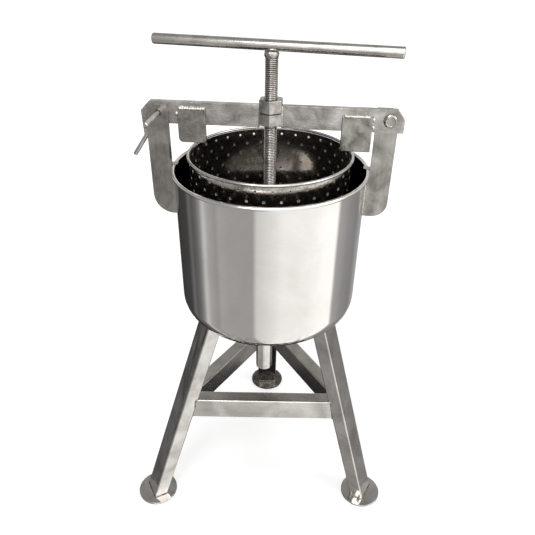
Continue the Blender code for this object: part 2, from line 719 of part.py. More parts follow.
def build_press():
    """Uprights, beam, pivot, pin, screw, foot, basket and follower."""
    pieces = [(obj, STEEL, 0.35) for obj in build_uprights() + build_beam()]
    pieces.append((build_tab("stop_tab_left", TAB_LEFT, -1), STEEL, 0.30))
    pieces.append((build_tab("stop_tab_right", TAB_RIGHT, 0), STEEL, 0.18))
    low, joint, high = SCREW_NUT_Z
    pieces.append((screw_nut("screw_nut_lower", low, joint - GAP / 2), DARK, 0.35))
    pieces.append((screw_nut("screw_nut_upper", joint + GAP / 2, high), DARK, 0.35))
    pieces += [(obj, BRIGHT, 0.25) for obj in build_pivot()]
    pieces.append((build_pin(), BRIGHT, 0.12))
    pieces.append((build_screw(), STEEL, 0.30))
    pieces += [(obj, STEEL, 0.30) for obj in build_handle()]
    pieces += [(obj, STEEL, 0.30) for obj in build_press_foot()]
    pieces.append((build_basket(), STEEL, 0.30))
    pieces.append((build_follower(), STEEL, 0.28))
    return pieces


def move_mesh(obj, x, y):
    """Shift an object's points, leaving its origin where it is."""
    for vertex in obj.data.vertices:
        vertex.co.x += x
        vertex.co.y += y


def main():
    """Build every piece, give each its material and centre the plan."""
    clear_scene()
    for obj, color, roughness in build_stand() + build_press():
        give_material(obj, color, 1.0, roughness)
        move_mesh(obj, AXIS_X, AXIS_Y)


main()
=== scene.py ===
"""Looks of the cheese press: finer meshes, steel finishes, welds, studio and camera."""

import logging
import math
from dataclasses import dataclass, field
from enum import Enum
from typing import Any, Callable, Iterable, Sequence

import bmesh
import bpy
from mathutils import Matrix, Vector
from mathutils.bvhtree import BVHTree

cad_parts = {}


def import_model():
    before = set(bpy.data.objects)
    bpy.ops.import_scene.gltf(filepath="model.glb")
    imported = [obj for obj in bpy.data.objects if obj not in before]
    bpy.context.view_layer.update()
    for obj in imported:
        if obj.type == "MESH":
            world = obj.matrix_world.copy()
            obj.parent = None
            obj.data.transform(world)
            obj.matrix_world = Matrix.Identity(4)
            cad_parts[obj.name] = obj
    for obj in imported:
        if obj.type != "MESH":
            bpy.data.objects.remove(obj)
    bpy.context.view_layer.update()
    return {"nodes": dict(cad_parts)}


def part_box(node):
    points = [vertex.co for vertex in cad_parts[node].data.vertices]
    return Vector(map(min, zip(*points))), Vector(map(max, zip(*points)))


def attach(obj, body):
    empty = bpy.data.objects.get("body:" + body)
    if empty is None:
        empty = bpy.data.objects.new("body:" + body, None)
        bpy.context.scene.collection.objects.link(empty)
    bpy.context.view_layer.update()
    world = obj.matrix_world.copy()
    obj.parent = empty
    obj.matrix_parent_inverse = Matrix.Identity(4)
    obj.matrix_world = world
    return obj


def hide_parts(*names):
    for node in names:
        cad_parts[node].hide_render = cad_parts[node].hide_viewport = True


logging.basicConfig(level=logging.INFO, format="%(message)s")
LOG = logging.getLogger("cheese_press")

AXIS = Vector((0.01198, -0.06350, 0.0))  # where the pot's axis stands
MERGED = 0.00002  # metres; CAD points nearer than this are one point
BEAD_STEP = 0.0011  # metres between the loops of a weld bead
BEAD_RIPPLE = 0.0031  # metres from one coin of a weld bead to the next
SUNK = 0.0005  # metres that a bead's path stands back from the face it was cast on

Tree = bpy.types.NodeTree
Socket = bpy.types.NodeSocket
Piece = bpy.types.Object
Faces = list[tuple[int, ...]]


# ---------- small tools
def linear(hex_code: str) -> tuple[float, float, float, float]:
    """Turn an sRGB hex colour into linear values.

    Args:
        hex_code: six hex digits, such as "B4B1AD".

    Returns:
        Red, green, blue and an alpha of one.
    """
    channels = [int(hex_code[k:k + 2], 16) / 255.0 for k in (0, 2, 4)]
    curve = [c / 12.92 if c <= 0.04045 else ((c + 0.055) / 1.055) ** 2.4 for c in channels]
    return (curve[0], curve[1], curve[2], 1.0)


def add_node(tree: Tree, kind: str, settings: dict[str, Any] | None = None,
             inputs: dict[Any, Any] | None = None) -> bpy.types.Node:
    """Add a shader node.

    Args:
        tree: the node tree to add to.
        kind: Blender's node type name, after its "ShaderNode".
        settings: properties to set on the node.
        inputs: socket name or number to a value, or to an output socket to link.

    Returns:
        The new node.
    """
    node = tree.nodes.new("ShaderNode" + kind)
    for name, value in (settings or {}).items():
        setattr(node, name, value)
    for name, value in (inputs or {}).items():
        if isinstance(value, Socket):
            tree.links.new(value, node.inputs[name])
        else:
            node.inputs[name].default_value = value
    return node


def clear_tree(owner: bpy.types.Material | bpy.types.World) -> Tree:
    """Empty a node tree.

    Args:
        owner: the material or world that it belongs to.

    Returns:
        The empty tree.
    """
    owner.use_nodes = True
    owner.node_tree.nodes.clear()
    return owner.node_tree


def remap(tree: Tree, value: Socket, low: float, high: float, to_low: float = 0.0,
          to_high: float = 1.0, kind: str = "LINEAR") -> Socket:
    """Carry a value from one range over to another, held inside it.

    Args:
        tree: the node tree to add to.
        value: the value.
        low: where its range starts.
        high: where its range ends.
        to_low: what the start turns into.
        to_high: what the end turns into.
        kind: Blender's name of the way between them.

    Returns:
        The socket with the new value.
    """
    return add_node(tree, "MapRange", {"interpolation_type": kind}, {
        "Value": value, "From Min": low, "From Max": high, "To Min": to_low,
        "To Max": to_high}).outputs[0]


def work_out(tree: Tree, sum_name: str, first: Socket, second: Socket | float) -> Socket:
    """Return the result of one of Blender's sums, such as ADD, on two values."""
    return add_node(tree, "Math", {"operation": sum_name}, {0: first, 1: second}).outputs[0]


def put(name: str, data: bpy.types.ID) -> Piece:
    """Put a new object into the scene.

    Args:
        name: the object's name.
        data: the mesh, lamp or camera that it shows.

    Returns:
        The object.
    """
    obj = bpy.data.objects.new(name, data)
    bpy.context.scene.collection.objects.link(obj)
    return obj


def new_object(name: str, verts: Iterable[Sequence[float]], faces: Iterable[Sequence[int]],
               smooth: bool = True) -> Piece:
    """Make a mesh object with its faces turned outwards.

    Args:
        name: the piece's name.
        verts: points in metres.
        faces: point numbers of each face.
        smooth: whether the faces are shaded smooth.

    Returns:
        The linked object.
    """
    mesh = bpy.data.meshes.new(name)
    mesh.from_pydata([tuple(v) for v in verts], [], [tuple(f) for f in faces])
    work = bmesh.new()
    work.from_mesh(mesh)
    bmesh.ops.recalc_face_normals(work, faces=work.faces)
    for face in work.faces:
        face.smooth = smooth
    work.to_mesh(mesh)
    work.free()
    return put(name, mesh)


def crisp_object(name: str, work: bmesh.types.BMesh, angle: float) -> Piece:
    """Make an object that is shaded smooth between its sharp edges.

    Args:
        name: the piece's name.
        work: its mesh, which is freed.
        angle: edges sharper than this, in degrees, stay crisp.

    Returns:
        The linked object.
    """
    for face in work.faces:
        face.smooth = True
    for edge in work.edges:
        edge.smooth = edge.calc_face_angle(0.0) < math.radians(angle)
    mesh = bpy.data.meshes.new(name)
    work.to_mesh(mesh)
    work.free()
    return put(name, mesh)


def skin(loops: Sequence[Sequence[Vector]], ring: bool = False) -> tuple[list[Vector], Faces]:
    """Join equal closed loops into a surface.

    Args:
        loops: the loops in order.
        ring: whether the last loop joins the first; if not, both ends are filled.

    Returns:
        Points and faces.
    """
    count, total = len(loops[0]), len(loops)
    verts = [point for loop in loops for point in loop]
    faces: Faces = []
    for row in range(total if ring else total - 1):
        low, high = row * count, ((row + 1) % total) * count
        for k in range(count):
            after = (k + 1) % count
            faces.append((low + k, low + after, high + after, high + k))
    if not ring:
        faces += [tuple(range(count)), tuple(range((total - 1) * count, total * count))]
    return verts, faces


def turns(sides: int) -> list[float]:
    """Return evenly spaced directions round a full turn, in radians."""
    return [2 * math.pi * k / sides for k in range(sides)]


def polar(radius: float, angle: float, z: float = 0.0, centre: Vector = AXIS) -> Vector:
    """Return the point at a distance and direction, in radians, from an upright axis."""
    return centre + Vector((radius * math.cos(angle), radius * math.sin(angle), z))


def circle(radius: float, z: float, sides: int, centre: Vector = AXIS) -> list[Vector]:
    """Return the points of a level circle round an upright axis."""
    return [polar(radius, angle, z, centre) for angle in turns(sides)]


def wobble(value: float) -> float:
    """Return a repeatable uneven number between -1 and 1 for a hand-made look."""
    return (math.sin(value * 12.9898) * 0.5 + math.sin(value * 7.233 + 1.3) * 0.3
            + math.sin(value * 31.7) * 0.2)


# ---------- finishes
class Grain(Enum):
    """Which way the abrasive ran over a steel surface."""

    ALONG_X = (14.0, 620.0, 620.0)
    ALONG_Z = (620.0, 620.0, 14.0)
    ROUND = (90.0, 90.0, 900.0)
    NONE = (240.0, 240.0, 240.0)


@dataclass(frozen=True)
class Steel:
    """Stainless steel with one surface treatment.

    The tint is the bright metal and the shade its duller clouds. Grain lines are drawn
    about 1.5 mm apart, coarser than the real 0.1 mm of the abrasive, so that they show.
    """

    name: str
    tint: str
    shade: str
    roughness: float
    spread: float
    grain: Grain = Grain.NONE
    grain_turn: float = 0.0
    grain_depth: float = 0.00003
    cloud_size: float = 0.05
    wave_depth: float = 0.0
    wave_size: float = 0.12
    line_strength: float = 0.25
    metallic: float = 1.0
    wave_stretch: float = 1.0
    worn_below: float = -1.0
    groove: tuple[float, float] | None = None

    def build(self) -> bpy.types.Material:
        """Make the material with its clouds, grain lines and bump.

        Returns:
            The finished material.
        """
        material = bpy.data.materials.new(self.name)
        tree = clear_tree(material)
        place = add_node(tree, "TexCoord").outputs["Object"]
        turned = add_node(tree, "Mapping", inputs={
            "Vector": place, "Rotation": (0.0, 0.0, self.grain_turn), "Scale": self.grain.value})
        lines = add_node(tree, "TexNoise", inputs={
            "Vector": turned.outputs[0], "Scale": 1.0, "Detail": 3.0,
            "Roughness": 0.6}).outputs["Fac"]
        clouds = add_node(tree, "TexNoise", inputs={
            "Vector": place, "Scale": 1.0 / self.cloud_size, "Detail": 5.0, "Roughness": 0.55,
            "Distortion": 0.6}).outputs["Fac"]
        base = add_node(tree, "Mix", {"data_type": "RGBA"}, {
            0: remap(tree, clouds, 0.35, 0.68), 6: linear(self.tint), 7: linear(self.shade)})
        colour = add_node(tree, "Mix", {"data_type": "RGBA", "blend_type": "MULTIPLY"}, {
            0: 1.0, 6: base.outputs[2],
            7: remap(tree, lines, 0.3, 0.7, 1.0 - self.line_strength, 1.0)}).outputs[2]
        rough = remap(tree, work_out(tree, "ADD", clouds, lines), 0.6, 1.4,
                      max(0.02, self.roughness - self.spread), self.roughness + self.spread)
        normal = add_node(tree, "Bump", inputs={
            "Height": lines, "Strength": 0.5, "Distance": self.grain_depth}).outputs[0]
        if self.wave_depth:
            drawn = add_node(tree, "Mapping", inputs={
                "Vector": place, "Scale": (1.0, 1.0, self.wave_stretch)})
            waves = add_node(tree, "TexNoise", inputs={
                "Vector": drawn.outputs[0], "Scale": 1.0 / self.wave_size, "Detail": 2.0,
                "Roughness": 0.4})
            normal = add_node(tree, "Bump", inputs={
                "Height": waves.outputs["Fac"], "Strength": 0.6, "Distance": self.wave_depth,
                "Normal": normal}).outputs[0]
        if self.worn_below > 0:
            colour = self._wear(tree, place, colour)
        if self.groove:
            colour = self._darker_to_root(tree, place, colour, *self.groove)
        shader = add_node(tree, "BsdfPrincipled", inputs={
            "Base Color": colour, "Metallic": self.metallic, "Roughness": rough, "Normal": normal})
        add_node(tree, "OutputMaterial", inputs={"Surface": shader.outputs[0]})
        return material

    @staticmethod
    def _darker_to_root(tree: Tree, place: Socket, colour: Socket, root: float, crest: float) -> Socket:
        """Darken a thread towards its root.

        Args:
            tree: the node tree.
            place: the surface position.
            colour: the clean colour.
            root: the thread's root radius, in metres.
            crest: its crest radius.

        Returns:
            The colour, darker towards the root.
        """
        offset = add_node(tree, "VectorMath", {"operation": "SUBTRACT"}, {0: place, 1: tuple(AXIS)})
        level = add_node(tree, "VectorMath", {"operation": "MULTIPLY"}, {
            0: offset.outputs[0], 1: (1.0, 1.0, 0.0)})
        reach = add_node(tree, "VectorMath", {"operation": "LENGTH"}, {0: level.outputs[0]})
        return add_node(tree, "Mix", {"data_type": "RGBA"}, {
            0: remap(tree, reach.outputs["Value"], root, crest), 6: linear("3A3733"),
            7: colour}).outputs[2]

    def _wear(self, tree: Tree, place: Socket, colour: Socket) -> Socket:
        """Scatter dark scuffs over the metal below a height.

        Args:
            tree: the node tree.
            place: the surface position.
            colour: the colour without wear.

        Returns:
            The worn colour.
        """
        height = add_node(tree, "SeparateXYZ", inputs={0: place}).outputs[2]
        low = remap(tree, height, self.worn_below + 0.010, self.worn_below - 0.008)
        specks = add_node(tree, "TexNoise", inputs={
            "Vector": place, "Scale": 75.0, "Detail": 4.0, "Roughness": 0.6, "Distortion": 1.2})
        share = work_out(tree, "MULTIPLY", low, remap(tree, specks.outputs["Fac"], 0.52, 0.62))
        return add_node(tree, "Mix", {"data_type": "RGBA"}, {
            0: share, 6: colour, 7: linear("8A8681")}).outputs[2]


# Buffed to a mirror on a wheel: clear reflections with a slow waver from the rolled sheet.
MIRROR = Steel("buffed_stainless_sheet", "F2F0ED", "E6E3DF", 0.040, 0.018, Grain.ROUND,
               grain_depth=0.000004, cloud_size=0.09, wave_depth=0.0005, wave_size=0.14,
               line_strength=0.04, wave_stretch=0.5, worn_below=0.496)
# Flap-disc ground flat bar: soft grey sheen with cloudy patches where the disc paused.
GROUND_BAR = Steel("ground_flat_bar", "E4E1DD", "9C9892", 0.24, 0.08, Grain.ALONG_X,
                   grain_turn=0.099, cloud_size=0.030, wave_depth=0.0006, wave_size=0.05)
# The same bar on end, with a darker tint than the beam's and its grain running up it.
GROUND_UPRIGHT = Steel("ground_upright_bar", "C9C6C1", "827E78", 0.24, 0.09, Grain.ALONG_Z,
                       cloud_size=0.045, wave_depth=0.0008, wave_size=0.05, line_strength=0.15)
# Tab plates cut by hand and ground across: duller and blotchy.
TAB_PLATE = Steel("ground_tab_plate", "BDBAB5", "75716B", 0.25, 0.09,
                  cloud_size=0.022, wave_depth=0.0008, wave_size=0.03, line_strength=0.15)
# Polished box tube: bright and streaky, with lengthwise lines and a waver along the walls.
TUBE = Steel("polished_box_tube", "E3E0DC", "BBB7B2", 0.10, 0.05, Grain.ALONG_Z,
             cloud_size=0.06, wave_depth=0.0065, wave_size=0.045, line_strength=0.08,
             wave_stretch=0.30)
# The rails' tube, brushed dull after welding: an even grey with only soft reflections.
RAIL_TUBE = Steel("brushed_box_tube", "E0DDD8", "B9B5B0", 0.24, 0.06, Grain.ALONG_X,
                  cloud_size=0.06, wave_depth=0.0010, wave_size=0.06, line_strength=0.10)
# Machined hexagons and small fittings: darker, with oil and handling on them.
MACHINED = Steel("machined_stainless", "CFCBC6", "8E8A84", 0.20, 0.07,
                 cloud_size=0.02, line_strength=0.2)
# Rolled thread: bright crests, with the colour darkened towards the roots.
THREAD = Steel("oiled_rolled_thread", "D8D5D0", "A5A19B", 0.26, 0.07,
               cloud_size=0.02, line_strength=0.1, groove=(0.0094, 0.0109))
# Bright drawn bar for the pin and drain pipe: crisp narrow highlights.
DRAWN_BAR = Steel("bright_drawn_bar", "EAE7E3", "C6C2BD", 0.12, 0.05,
                  cloud_size=0.03, line_strength=0.1)
# Handle bar: drawn bar dulled by hands.
HANDLE = Steel("handled_drawn_bar", "ECE9E5", "C4C0BA", 0.17, 0.05, Grain.ALONG_X,
               grain_turn=0.258, grain_depth=0.000008, cloud_size=0.03, line_strength=0.10)
# Perforated sheet of the basket: polished once, now stained by whey and dim inside.
BASKET = Steel("perforated_basket_sheet", "E4E0DA", "8F8A84", 0.15, 0.07,
               cloud_size=0.035, wave_depth=0.0006, wave_size=0.05)
# Painted highlight on the punched edge round each hole: a pale matt ring that stands in for the
# glint there.
HOLE_GLINT = Steel("painted_highlight_round_hole", "C9C5BD", "8F8B84", 0.60, 0.10, cloud_size=0.012,
             line_strength=0.05, metallic=0.0)
# Foot plate at the back: tinted dark as painted shade for the plate in the press's shade, and
# rougher than the front plates.
SHADED_BACK_PLATE = Steel("back_foot_plate_painted_shade", "8F8B86", "55514D", 0.30, 0.10, cloud_size=0.02)
# Brushed rim wire, the bright line round the basket.
RIM = Steel("rim_wire", "E4E1DD", "CBC8C3", 0.20, 0.06, cloud_size=0.03, line_strength=0.1)
# Weld metal left as laid: bright beads.
WELD = Steel("stainless_weld_bead", "F6F4F1", "C9C4BD", 0.42, 0.12,
             grain_depth=0.0002, cloud_size=0.006)
# Weld metal with brown-grey heat colour beside it, left unground; the same dark finish also makes
# the painted shadow round the pin's bore.
HEAT_TINT_AND_SHADOW = Steel("heat_tint_and_painted_shadow", "B5AFA7", "4E4944", 0.34, 0.12,
               grain_depth=0.0002, cloud_size=0.005)


class Finishes:
    """Builds each finish once and hands it out."""

    def __init__(self) -> None:
        """Start with nothing built."""
        self._built: dict[str, bpy.types.Material] = {}

    def dress(self, piece: Piece, steel: Steel) -> None:
        """Give a piece one finish all over."""
        piece.data.materials.clear()
        self.add(piece, steel)

    def add(self, piece: Piece, steel: Steel) -> None:
        """Add a finish to those that a piece has.

        Args:
            piece: the object.
            steel: its further finish.
        """
        if steel.name not in self._built:
            self._built[steel.name] = steel.build()
        piece.data.materials.append(self._built[steel.name])


# ---------- shared piece makers
@dataclass
class Workshop:
    """What every sub-assembly needs: the CAD nodes and the finishes."""

    nodes: dict[str, Piece]
    finishes: Finishes

    def report(self, piece: Piece, what: str) -> None:
        """Log one finished piece."""
        LOG.info("%s: %s, %d faces", piece.name, what, len(piece.data.polygons))

    def fit(self, piece: Piece, body: str, steel: Steel, slot: str = "satin_steel") -> Piece:
        """Dress a new piece and let it ride on its body.

        Args:
            piece: the new object.
            body: name of the CAD body that it moves with.
            steel: its finish.
            slot: not used.

        Returns:
            The same object.
        """
        self.finishes.dress(piece, steel)
        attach(piece, body)
        return piece

    def refine(self, node: str, body: str, steel: Steel, bevel: float, angle: float = 38.0,
               slot: str = "satin_steel") -> Piece:
        """Stand in for a CAD node with the same shape, its sharp edges eased.

        Args:
            node: the CAD node.
            body: the body that it belongs to.
            steel: its finish.
            bevel: width of the eased edge, in metres; 0 leaves it sharp.
            angle: edges sharper than this, in degrees, are eased.
            slot: a material slot name, handed on to fit.

        Returns:
            The refined object.
        """
        work = bmesh.new()
        work.from_mesh(self.nodes[node].data)
        bmesh.ops.remove_doubles(work, verts=work.verts, dist=MERGED)
        bmesh.ops.dissolve_limit(work, angle_limit=math.radians(1.0), verts=work.verts,
                                 edges=work.edges)
        bmesh.ops.recalc_face_normals(work, faces=work.faces)
        piece = crisp_object(node + "_skin", work, angle)
        if bevel:
            ease = piece.modifiers.new("eased_edges", "BEVEL")
            ease.width, ease.segments, ease.limit_method = bevel, 2, "ANGLE"
            ease.angle_limit = math.radians(angle)
            ease.use_clamp_overlap = True
            ease.harden_normals = True
        crisp = piece.modifiers.new("flat_faces_stay_flat", "WEIGHTED_NORMAL")
        crisp.mode, crisp.weight, crisp.keep_sharp = "FACE_AREA", 80, True
        self.fit(piece, body, steel, slot)
        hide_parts(node)
        self.report(piece, steel.name)
        return piece

    def bead(self, name: str, path: Sequence[Vector], radius: float, body: str,
             closed: bool = False, steel: Steel = WELD) -> Piece:
        """Lay a weld bead along a path, rippled like stacked coins.

        Args:
            name: the piece's name.
            path: points along the joint.
            radius: the bead's half width.
            body: the body that it rides on.
            closed: whether the path runs back to its start.
            steel: its finish.

        Returns:
            The bead.
        """
        points = self._even(path, BEAD_STEP, closed)
        loops: list[list[Vector]] = []
        total = len(points)
        for index, point in enumerate(points):
            before = points[index - 1] if index or closed else point
            after = points[(index + 1) % total] if index < total - 1 or closed else point
            way = (after - before).normalized()
            side = way.cross(Vector((0.31, 0.23, 0.92))).normalized()  # never along a bead
            up = way.cross(side).normalized()
            ripple = (0.84 + 0.18 * abs(math.sin(index * BEAD_STEP * math.pi / BEAD_RIPPLE))
                      + 0.20 * wobble(index * 0.37))
            if not closed:
                ripple *= min(1.0, 0.35 + 0.4 * min(index, total - 1 - index))
            loops.append([point + (side * math.cos(a) + up * math.sin(a)) * (radius * ripple)
                          for a in turns(8)])
        verts, faces = skin(loops, ring=closed)
        return self.fit(new_object(name, verts, faces), body, steel)

    @staticmethod
    def _even(path: Sequence[Vector], step: float, closed: bool) -> list[Vector]:
        """Return points spaced evenly along a path.

        Args:
            path: corner points.
            step: spacing wanted, in metres.
            closed: whether the path runs back to its start.

        Returns:
            The evenly spaced points.
        """
        corners = list(path) + ([path[0]] if closed else [])
        points: list[Vector] = []
        for start, end in zip(corners, corners[1:]):
            parts = max(1, round((end - start).length / step))
            points += [start.lerp(end, k / parts) for k in range(parts)]
        return points if closed else points + [corners[-1]]

    def tree_of(self, node: str) -> BVHTree:
        """Return a ray-casting tree of a CAD node."""
        mesh = self.nodes[node].data
        return BVHTree.FromPolygons([v.co for v in mesh.vertices],
                                    [p.vertices for p in mesh.polygons])


@dataclass(frozen=True)
class BeamFrame:
    """The beam's own directions: u along it, v from front to back."""

    turn: float = 0.099

    def point(self, u: float, v: float, z: float) -> Vector:
        """Return the world point of a place in the beam's frame."""
        cos, sin = math.cos(self.turn), math.sin(self.turn)
        return AXIS + Vector((u * cos + v * sin, -u * sin + v * cos, z))


# ---------- pot
@dataclass
class Pot:
    """Buffed pot with its drain pipe."""

    shop: Workshop
    drain_radius: float = 0.0163
    drain_x: float = -0.004
    drain_y: float = -0.108

    def build(self) -> None:
        """Refine the pot and drain, and weld the pipe on."""
        self.shop.refine("outer_pot", "stand", MIRROR, 0.0, 50.0, "polished_steel")
        self.shop.refine("drain_spout", "stand", DRAWN_BAR, 0.0004, 50.0, "polished_steel")
        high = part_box("drain_spout")[1].z
        centre = AXIS + Vector((self.drain_x, self.drain_y, 0.0))
        self.shop.bead("drain_weld", circle(self.drain_radius + 0.0008, high - 0.0006, 40, centre),
                       0.0016, "stand", closed=True)


# ---------- basket
@dataclass
class Basket:
    """Perforated basket with a wired rim, and the loose plate inside."""

    shop: Workshop
    radius: float = 0.146
    wall: float = 0.0012
    columns: int = 64
    pitch: float = 0.0170
    hole: float = 0.0019
    # radius of the pale ring of painted highlight round each hole
    glint_radius: float = 0.0026
    wire: float = 0.0026
    bend: float = 0.006
    feet_circle: float = 0.095
    floor_z: float = field(init=False, default=0.0)
    rim_z: float = field(init=False, default=0.0)

    def build(self) -> None:
        """Build the wall, floor, rim and feet, and refine the follower."""
        low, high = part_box("basket")
        self.floor_z = low.z + 0.0137
        self.rim_z = high.z
        pieces = [self._wall(), self._floor(), self._rim(), self._feet(low.z)]
        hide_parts("basket")
        for piece in pieces:
            self.shop.report(piece, "basket")
        self.shop.refine("follower_plate", "follower", BASKET, 0.0)

    def _sheet(self, rows: int, place: Callable[[float, float], Vector],
               size: Callable[[float], tuple[float, float]]) -> tuple[list[Vector], Faces]:
        """Lay out a sheet of square cells, every other one with a round hole ringed by painted
        highlight.

        Args:
            rows: how many rows of cells.
            place: turns a column and row position into a point.
            size: the width and height of a cell in metres at a row.

        Returns:
            Points and faces.
        """
        verts: list[Vector] = []
        faces: Faces = []
        grid: dict[tuple[float, float], int] = {}

        def corner(column: float, row: float) -> int:
            """Find or make a corner point that cells share.

            Args:
                column: its column.
                row: its row.

            Returns:
                The point's number.
            """
            key = (column % self.columns, row)
            if key not in grid:
                grid[key] = len(verts)
                verts.append(place(*key))
            return grid[key]

        for row in range(rows):
            for column in range(self.columns):
                ring = [corner(column + x, row + y) for x, y in (
                    (0, 0), (0.5, 0), (1, 0), (1, 0.5), (1, 1), (0.5, 1), (0, 1), (0, 0.5))]
                if (row + column) % 2:
                    faces.append(tuple(ring))
                    continue
                wide, tall = size(row + 0.5)
                for reach in (self.glint_radius, self.hole):
                    inner = []
                    for k in range(8):
                        angle = math.radians(225 + 45 * k)
                        inner.append(len(verts))
                        verts.append(place(column + 0.5 + reach / wide * math.cos(angle),
                                           row + 0.5 + reach / tall * math.sin(angle)))
                    faces += [(ring[k], ring[(k + 1) % 8], inner[(k + 1) % 8], inner[k])
                              for k in range(8)]
                    ring = inner
        return verts, faces

    def _thicken(self, name: str, verts: list[Vector], faces: Faces) -> Piece:
        """Turn a sheet inwards into metal of the wall's thickness.

        Args:
            name: the piece's name.
            verts: the sheet's points.
            faces: the sheet's faces.

        Returns:
            The finished piece, its holes ringed with the painted highlight finish.
        """
        sheet = new_object(name + "_sheet", verts, faces)
        solid = sheet.modifiers.new("thickness", "SOLIDIFY")
        solid.thickness, solid.offset = self.wall, -1.0
        work = bmesh.new()
        work.from_mesh(sheet.evaluated_get(bpy.context.evaluated_depsgraph_get()).to_mesh())
        bpy.data.objects.remove(sheet)
        piece = crisp_object(name, work, 30.0)
        self.shop.fit(piece, "basket_body", BASKET)
        self.shop.finishes.add(piece, HOLE_GLINT)
        for face in piece.data.polygons:
            # the small faces round each hole take the painted highlight
            face.material_index = int(face.area < self.glint_radius ** 2 * 0.6)
        return piece

    def _turn(self, column: float) -> float:
        """Return the direction of a column of cells, in radians."""
        return 2 * math.pi * column / self.columns

    def _wall(self) -> Piece:
        """Build the round wall with its staggered holes.

        Returns:
            The wall.
        """
        base = self.floor_z + self.bend
        top = self.rim_z - 2 * self.wire
        rows = int((top - base) / self.pitch)
        pitch = (top - base) / rows
        wide = 2 * math.pi * self.radius / self.columns
        verts, faces = self._sheet(
            rows, lambda column, row: polar(self.radius, self._turn(column), base + row * pitch),
            lambda _row: (wide, pitch))
        return self._thicken("basket_wall", verts, faces)

    def _floor(self, hub: float = 0.020, rows: int = 6, steps: int = 4) -> Piece:
        """Build the drilled floor and the bend up to the wall.

        Args:
            hub: radius of the plain middle, in metres.
            rows: rows of cells from the hub outwards.
            steps: faces round the bend.

        Returns:
            The floor.
        """
        reach = self.radius - self.bend
        top = self.floor_z + self.wall

        def radius_at(row: float) -> float:
            """Return how far out a row lies."""
            return hub + (reach - hub) * row / rows

        def rim_of(radius: float) -> list[int]:
            """Return the sheet's points at a distance, in order round the axis."""
            found = [k for k, v in enumerate(verts) if abs((v - AXIS).xy.length - radius) < 1e-6]
            return sorted(found, key=lambda k: math.atan2(verts[k].y - AXIS.y, verts[k].x - AXIS.x))

        verts, faces = self._sheet(
            rows, lambda column, row: polar(radius_at(row), self._turn(column), top),
            lambda row: (2 * math.pi * radius_at(row) / self.columns * 1.6, (reach - hub) / rows))
        faces.append(tuple(rim_of(hub)))
        edge = rim_of(reach)
        last = edge
        for step in range(1, steps + 1):
            angle = math.radians(-90 + 90 / steps * step)
            z = self.floor_z + self.wall * (1 - step / steps) + self.bend * (1 + math.sin(angle))
            ring = []
            for k in edge:
                out = Vector((verts[k].x - AXIS.x, verts[k].y - AXIS.y, 0)).normalized()
                ring.append(len(verts))
                verts.append(AXIS + out * (reach + self.bend * math.cos(angle)) + Vector((0, 0, z)))
            faces += [(last[k], last[(k + 1) % len(edge)], ring[(k + 1) % len(edge)], ring[k])
                      for k in range(len(edge))]
            last = ring
        return self._thicken("basket_floor", verts, faces)

    def _rim(self) -> Piece:
        """Roll the rim over its wire.

        Returns:
            The rim.
        """
        middle = self.radius - self.wall + self.wire
        verts, faces = skin([circle(middle + self.wire * math.cos(angle),
                                    self.rim_z - self.wire + self.wire * math.sin(angle), 144)
                             for angle in turns(16)], ring=True)
        return self.shop.fit(new_object("basket_rim", verts, faces), "basket_body", RIM)

    def _feet(self, low: float) -> Piece:
        """Make the three small feet that keep the floor off the pot.

        Args:
            low: height of the feet's soles, in metres.

        Returns:
            The three feet as one piece.
        """
        verts: list[Vector] = []
        faces: Faces = []
        profile = ((0.0068, low), (0.008, low + 0.0012), (0.008, self.floor_z + 0.0004),
                   (0.0078, self.floor_z + 0.0006))
        for k in range(3):
            centre = polar(self.feet_circle, math.radians(90 + 120 * k))
            more, skinned = skin([circle(radius, z, 24, centre) for radius, z in profile])
            faces += [tuple(i + len(verts) for i in face) for face in skinned]
            verts += more
        return self.shop.fit(new_object("basket_feet", verts, faces), "basket_body", BASKET)


